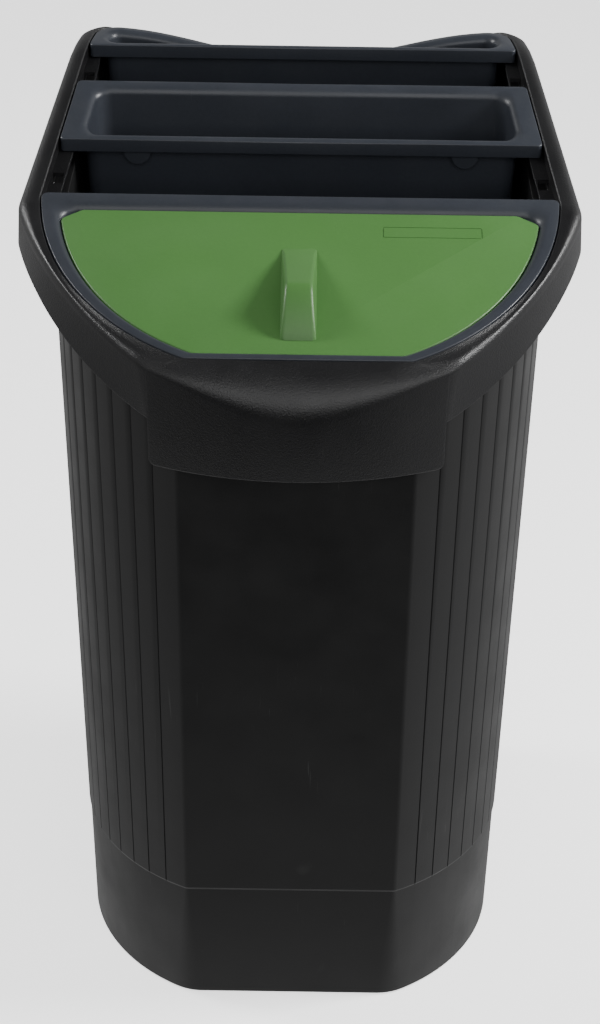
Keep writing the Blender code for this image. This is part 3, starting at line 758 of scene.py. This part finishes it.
def grip_section(y):
    """A ring across the fin: drafted sides and rounded shoulders, closed inside the lid's plate."""
    low = lid_z(y) - GRIP_BURY
    top = max(grip_height(y), low + GRIP_MIN_HEIGHT)
    height = top - low
    radius = min(GRIP_ROUND, height * 0.7)
    end = min(abs(y - GRIP_Y[0]), abs(y - GRIP_Y[1]))
    inside = max(0.0, GRIP_END_ROUND - end)
    pull = GRIP_END_ROUND - math.sqrt(max(0.0, GRIP_END_ROUND ** 2 - inside ** 2))

    def half(z):
        return GRIP_FOOT_HALF - pull - GRIP_DRAFT * (z - low) / GRIP_DRAFT_HEIGHT

    middle = low + (height - radius) * 0.5
    side = [(half(low), low), (half(middle), middle)]
    for across, down in quarter(7)[::-1]:
        side.append((half(top - radius) - radius * (1.0 - across), top - radius * down))
    side.append((0.0, top))
    ring = side + [(-x, z) for x, z in reversed(side[:-1])]
    return [(x, y, z) for x, z in ring]


def label_groove():
    """The cutter of the round-cornered rectangle engraved in the lid."""
    (x0, x1), (y0, y1) = LABEL
    outline = []
    for cx, cy, start in ((x1, y0, -90), (x1, y1, 0), (x0, y1, 90), (x0, y0, 180)):
        ox = cx - math.copysign(LABEL_CORNER, cx - (x0 + x1) / 2.0)
        oy = cy - math.copysign(LABEL_CORNER, cy - (y0 + y1) / 2.0)
        outline += [(ox, oy, start + 90.0 * k / 5.0) for k in range(6)]

    def ring(grow, drop):
        points = []
        for ox, oy, turn in outline:
            a = math.radians(turn)
            x = ox + (LABEL_CORNER + grow) * math.cos(a)
            y = oy + (LABEL_CORNER + grow) * math.sin(a)
            points.append((x, y, rim_z(x, y) - LID_DROP - drop))
        return points

    outside, inside = 0.0, -LABEL_WIDTH
    above, below = -LABEL_ABOVE, LABEL_DEPTH
    rings = [ring(outside, above), ring(outside, below), ring(inside, below), ring(inside, above)]
    return loft("label_groove", rings, closed=True)


def make_lid():
    half = lid_half(0.0)
    inset = lid_half(LID_EDGE)
    bottom = LID_DROP + LID_THICKNESS
    rings = [on_rim(lid_half(LID_CHAMFER), bottom), on_rim(half, bottom - LID_CHAMFER)]
    for across, down in quarter(5)[::-1]:
        rings.append(on_rim(between(half, inset, 1.0 - across), LID_DROP + LID_EDGE * down))
    lid = loft("green_lid", rings)
    stations = [0.5 - 0.5 * math.cos(math.pi * k / GRIP_STEPS) for k in range(GRIP_STEPS + 1)]
    grip = loft("grip", [grip_section(GRIP_Y[0] + (GRIP_Y[1] - GRIP_Y[0]) * t) for t in stations])
    combine(lid, "UNION", [grip])
    return combine(lid, "DIFFERENCE", [label_groove()])


# ---------------------------------------------------------------- hung tubs

def tub_half(front_y, back_y, side_inset, corner, back_corner):
    """A hung tub's outline: straight front and back, and the frame's side lines."""
    turn = math.radians(SIDE_TURN)
    outline = Outline(front_y)
    across = side_x(front_y + corner * (1.0 - math.cos(turn))) - side_inset
    outline.line(across - corner * math.sin(turn), 3)
    outline.bend(corner, SIDE_TURN, 5)
    outline.back(back_y, back_corner, 2, 6, 5)
    return outline.points


def make_tub(name, span, flats, tapers, rounds, back_corner, floor_z):
    """A lipped tub. Flats are the lip's widths and tapers the walls' leans, each at front, back and side.

    Rounds are the plan corners at the lip, below its round and at the floor.
    """
    front, back = span

    def plan(down, radius, lean=0.0, extra=0.0):
        front_in, back_in, side_in = (flat + TUB_ROUND * down + extra for flat in flats)
        lean_front, lean_back, lean_side = (taper * lean for taper in tapers)
        across = FIT_GAP + side_in + lean_side
        front_y, back_y = front + front_in + lean_front, back - back_in - lean_back
        return tub_half(front_y, back_y, across, radius, radius)

    def rim(inset, radius, drop):
        half = tub_half(front + inset, back - inset, FIT_GAP + inset, radius, back_corner - inset)
        return on_rim(half, drop)

    top, bottom, floor = rounds
    rings = [
        level(plan(1.0, floor, 1.0, -INSERT_WALL), floor_z),
        on_rim(plan(1.0, bottom, 0.0, -INSERT_WALL), TUB_ROUND),
        rim(LIP_THICKNESS, LIP_CORNER / 2.0, INSERT_WALL),
        rim(LIP_THICKNESS, LIP_CORNER / 2.0, LIP_DEPTH),
        rim(0.0, LIP_CORNER, LIP_DEPTH),
        rim(0.0, LIP_CORNER, 0.0),
    ]
    soft = dict(zip((3, 4, 5), TUB_LIP_ROUNDS))
    for across, down in quarter(9):
        rings.append(on_rim(plan(across, top + (bottom - top) * across), TUB_ROUND * down))
    rings.append(level(plan(1.0, floor, 1.0), floor_z + INSERT_WALL))
    return loft(name, softened(rings, soft))


def make_middle_insert():
    tub = make_tub(
        "middle_insert_tub",
        MIDDLE_Y,
        flats=(0.003, 0.003, 0.011),
        tapers=(0.006, 0.006, 0.012),
        rounds=(0.009, 0.012, 0.009),
        back_corner=0.0035,
        floor_z=0.300,
    )
    bosses = []
    for side in (-1, 1):
        x = side * BOSS_X
        top = rim_z(x, BOSS_Y) - LIP_DEPTH + BOSS_BURY
        outline = [(x - BOSS_RADIUS, top), (x + BOSS_RADIUS, top)]
        for k in range(BOSS_STEPS + 1):
            a = math.pi * k / BOSS_STEPS
            z = top - BOSS_STRAIGHT - BOSS_RADIUS * math.sin(a)
            outline.append((x + BOSS_RADIUS * math.cos(a), z))
        bosses.append(prism("boss", outline, BOSS_Y, BOSS_Y + BOSS_THICKNESS))
    return combine(tub, "UNION", bosses)


def make_rear_insert():
    return make_tub(
        "rear_insert_tub",
        REAR_Y,
        flats=(0.0025, 0.005, 0.0065),
        tapers=(0.001, 0.008, 0.012),
        rounds=(0.0125, 0.009, 0.0045),
        back_corner=FRAME_BACK_CORNER - FIT_GAP,
        floor_z=0.340,
    )


# ---------------------------------------------------------------- materials

def node(tree, kind, links=None, **settings):
    """A new node, its inputs linked to sockets or set to values."""
    made = tree.nodes.new(kind)
    for key, value in settings.items():
        setattr(made, key, value)
    for key, value in (links or {}).items():
        if isinstance(value, bpy.types.NodeSocket):
            tree.links.new(value, made.inputs[key])
        else:
            made.inputs[key].default_value = value
    return made


def noise(tree, where, scale, detail=3.0):
    links = {"Vector": where, "Scale": scale, "Detail": detail, "Roughness": 0.55}
    return node(tree, "ShaderNodeTexNoise", links).outputs[0]


def ramp(tree, value, low, high, out_low=0.0, out_high=1.0):
    links = {"Value": value, "From Min": low, "From Max": high, "To Min": out_low, "To Max": out_high}
    return node(tree, "ShaderNodeMapRange", links, clamp=True).outputs[0]


def maths(tree, operation, a, b):
    return node(tree, "ShaderNodeMath", {0: a, 1: b}, operation=operation).outputs[0]


def mix(tree, factor, a, b):
    return node(tree, "ShaderNodeMix", {0: factor, 6: a, 7: b}, data_type="RGBA").outputs[2]


def stretched(tree, where, scale, turn):
    links = {"Vector": where, "Scale": scale, "Rotation": turn}
    return node(tree, "ShaderNodeMapping", links).outputs[0]


STREAKS = (((900.0, 14.0, 30.0), (0.2, 0.5, 0.4)), ((30.0, 700.0, 10.0), (0.9, 0.1, 1.3)))  # scale and turn
DUST_COLOUR = (0.20, 0.195, 0.185, 1.0)
SATIN = (1000.0, 0.00004)  # cells per metre, and their height
PEBBLE = (800.0, 0.00018)


def plastic(name, colour, roughness, grain_size, specular, scuffs, dust=0.0, mottling=0.12):
    """Moulded plastic: pebbled or satin grain, faint mottling, hairline scuffs and dust on top faces."""
    pebble, pebble_height = grain_size
    made = bpy.data.materials.new(name)
    made.use_nodes = True
    tree = made.node_tree
    shader = tree.nodes["Principled BSDF"]
    where = node(tree, "ShaderNodeTexCoord").outputs["Object"]
    dark = (*(c * (1.0 - mottling) for c in colour), 1.0)
    light = (*(c * (1.0 + mottling) for c in colour), 1.0)
    worn = (*(c * 0.6 + 0.09 for c in colour), 1.0)

    broad = noise(tree, where, 9.0, 4.0)
    speckle = noise(tree, where, 420.0, 2.0)
    mottle = maths(tree, "ADD", broad, maths(tree, "MULTIPLY", speckle, 0.6))
    base = mix(tree, ramp(tree, mottle, 0.55, 1.05), dark, light)

    # Hairline scuffs: two fields of thin streaks, kept to patches
    patches = ramp(tree, noise(tree, where, 14.0, 3.0), 0.50, 0.72)
    hair = []
    for scale, turn in STREAKS:
        streaks = noise(tree, stretched(tree, where, scale, turn), 1.0, 1.0)
        hair.append(ramp(tree, streaks, 0.735, 0.80))
    hairline = maths(tree, "MULTIPLY", maths(tree, "MAXIMUM", *hair), patches)
    scuffed = maths(tree, "MULTIPLY", hairline, scuffs)
    base = mix(tree, scuffed, base, worn)
    if dust:
        normal = node(tree, "ShaderNodeNewGeometry").outputs["Normal"]
        up = node(tree, "ShaderNodeSeparateXYZ", {0: normal}).outputs[2]
        cloud = ramp(tree, noise(tree, where, 60.0, 5.0), 0.42, 0.75)
        settled = maths(tree, "MULTIPLY", ramp(tree, up, 0.75, 1.0), cloud)
        base = mix(tree, maths(tree, "MULTIPLY", settled, dust), base, DUST_COLOUR)
    tree.links.new(base, shader.inputs["Base Color"])

    uneven = ramp(tree, noise(tree, where, 23.0, 4.0), 0.30, 0.70, roughness - 0.05, roughness + 0.06)
    rough = maths(tree, "ADD", uneven, maths(tree, "MULTIPLY", scuffed, 0.12))
    tree.links.new(rough, shader.inputs["Roughness"])

    # Pebbled grain, over the slight waviness of a moulded wall
    links = {"Vector": where, "Scale": pebble}
    cells = node(tree, "ShaderNodeTexVoronoi", links, feature="SMOOTH_F1").outputs["Distance"]
    grain = maths(tree, "ADD", maths(tree, "MULTIPLY", cells, 0.6), noise(tree, where, pebble * 1.7, 3.0))
    links = {"Height": grain, "Strength": 1.0, "Distance": pebble_height}
    bump = node(tree, "ShaderNodeBump", links).outputs[0]
    links = {"Height": noise(tree, where, 16.0, 2.0), "Strength": 0.25, "Distance": 0.0008, "Normal": bump}
    tree.links.new(node(tree, "ShaderNodeBump", links).outputs[0], shader.inputs["Normal"])
    shader.inputs["Metallic"].default_value = 0.0
    shader.inputs["IOR"].default_value = 1.49
    shader.inputs["Specular IOR Level"].default_value = specular
    return made


BODY_PLASTIC = plastic(
    "charcoal_satin", (0.0062, 0.0062, 0.0064), 0.39, SATIN, specular=0.45, scuffs=0.45
)
FRAME_PLASTIC = plastic(
    "black_pebble", (0.0045, 0.0045, 0.0051), 0.38, PEBBLE, specular=0.5, scuffs=0.2, mottling=0.3
)
SLATE_PLASTIC = plastic(
    "slate_satin", (0.0250, 0.0285, 0.0360), 0.36, SATIN, specular=0.40, scuffs=0.3, dust=0.03
)
GREEN_PLASTIC = plastic(
    "green_satin", (0.058, 0.155, 0.038), 0.42, SATIN, specular=0.40, scuffs=0.12, mottling=0.05
)

for build, body, replaced, slot, finish in (
    (make_body, "bin", "body_shell", "body", BODY_PLASTIC),
    (make_frame, "bin", "top_frame", "frame", FRAME_PLASTIC),
    (make_front_insert, "front_insert", "front_insert", "front_insert", SLATE_PLASTIC),
    (make_lid, "lid", "front_lid", "lid", GREEN_PLASTIC),
    (make_middle_insert, "middle_insert", "middle_insert", "middle_insert", SLATE_PLASTIC),
    (make_rear_insert, "rear_insert", "rear_insert", "rear_insert", SLATE_PLASTIC),
):
    piece = build()
    piece.data.materials.clear()
    piece.data.materials.append(finish)
    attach(piece, body)
    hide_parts(replaced)


# ---------------------------------------------------------------- stage, light and camera

# The studio's light by direction, as radiance
AMBIENT = 0.05
SIDE_GLOW = 0.36
SIDE_GLOW_FROM = 0.25
SIDE_GLOW_TO = 0.85
RIGHT_GLOW = 0.22
FOOT_GLOW = 0.85
FOOT_GLOW_Z = (-0.85, -0.62)
CEILING_GLOW = 0.06
CEILING_Z = (0.60, 0.95)
BEHIND_GLOW = 0.40
BEHIND_Y = (0.30, 0.90)
BEHIND_Z = (0.45, 0.65)
BACKDROP = 1.5

# The floor: it takes light and shadow, but neither shows in reflections nor lights the object
FLOOR_HALF = 6.0
FLOOR_GAP = 0.0002
FLOOR_GREY = (0.86, 0.86, 0.86, 1.0)
FLOOR_ROUGHNESS = 0.7
FLOOR_GLOW = 1.5

# The camera: focal length as a share of the picture's height, place, and turns about X and Z in degrees
SENSOR = 36.0
FOCAL_SHARE = 2500.0 / 1024.0
CAMERA_PLACE = (0.003, -1.645, 1.2803)
CAMERA_TURNS = (60.0, 0.85)


def make_floor():
    bm = bmesh.new()
    bmesh.ops.create_grid(bm, x_segments=1, y_segments=1, size=FLOOR_HALF)
    mesh = bpy.data.meshes.new("floor")
    bm.to_mesh(mesh)
    bm.free()
    floor = bpy.data.objects.new("floor", mesh)
    bpy.context.scene.collection.objects.link(floor)
    finish = bpy.data.materials.new("pale_floor")
    finish.use_nodes = True
    shader = finish.node_tree.nodes["Principled BSDF"]
    shader.inputs["Base Color"].default_value = FLOOR_GREY
    shader.inputs["Roughness"].default_value = FLOOR_ROUGHNESS
    shader.inputs["Emission Color"].default_value = (1.0, 1.0, 1.0, 1.0)
    shader.inputs["Emission Strength"].default_value = FLOOR_GLOW
    mesh.materials.append(finish)
    floor.location.z = -FLOOR_GAP
    floor.visible_glossy = False
    floor.visible_diffuse = False


def area_light(name, place, target, size, power):
    data = bpy.data.lights.new(name, "AREA")
    data.shape = "RECTANGLE"
    data.size, data.size_y = size
    data.energy = power
    light = bpy.data.objects.new(name, data)
    bpy.context.scene.collection.objects.link(light)
    light.location = place
    light.rotation_euler = (Vector(target) - Vector(place)).to_track_quat("-Z", "Y").to_euler()


def make_world():
    """A studio as a gradient by direction: bright sides, the right one brighter, a glow behind and below.

    The camera sees a plain white backdrop instead.
    """
    world = bpy.data.worlds.new("studio")
    world.use_nodes = True
    tree = world.node_tree
    along = node(tree, "ShaderNodeSeparateXYZ", {0: node(tree, "ShaderNodeTexCoord").outputs["Generated"]})
    x, y, z = along.outputs
    side = ramp(tree, maths(tree, "ABSOLUTE", x, 0.0), SIDE_GLOW_FROM, SIDE_GLOW_TO, 0.0, SIDE_GLOW)
    right = ramp(tree, x, 0.0, 1.0, 0.0, RIGHT_GLOW)
    below = ramp(tree, z, *FOOT_GLOW_Z, FOOT_GLOW, 0.0)
    above = ramp(tree, z, *CEILING_Z, 0.0, CEILING_GLOW)
    back = ramp(tree, y, *BEHIND_Y, 0.0, BEHIND_GLOW)
    behind = maths(tree, "MULTIPLY", back, ramp(tree, z, *BEHIND_Z, 1.0, 0.0))
    light = AMBIENT
    for part in (side, right, below, above, behind):
        light = maths(tree, "ADD", light, part)
    seen = node(tree, "ShaderNodeLightPath").outputs["Is Camera Ray"]
    links = {0: seen, 2: light, 3: BACKDROP}
    strength = node(tree, "ShaderNodeMix", links, data_type="FLOAT").outputs[0]
    background = tree.nodes["Background"]
    background.inputs["Color"].default_value = (1.0, 1.0, 1.0, 1.0)
    tree.links.new(strength, background.inputs["Strength"])
    bpy.context.scene.world = world


def make_camera():
    data = bpy.data.cameras.new("camera")
    data.sensor_width = SENSOR
    data.lens = FOCAL_SHARE * SENSOR
    camera = bpy.data.objects.new("camera", data)
    bpy.context.scene.collection.objects.link(camera)
    about_x, about_z = (math.radians(turn) for turn in CAMERA_TURNS)
    turn = Matrix.Rotation(about_x, 4, "X") @ Matrix.Rotation(about_z, 4, "Z")
    camera.matrix_world = Matrix.Translation(CAMERA_PLACE) @ turn
    bpy.context.scene.camera = camera


make_floor()
make_world()
area_light("key", (1.45, 0.00, 1.48), (0.0, -0.05, 0.50), (0.45, 0.45), 46.0)
area_light("left", (-1.38, 0.40, 1.58), (0.0, -0.05, 0.50), (0.50, 0.50), 22.0)
area_light("front", (0.2, -2.3, 1.9), (0.0, 0.0, 0.45), (3.0, 1.8), 38.0)
make_camera()
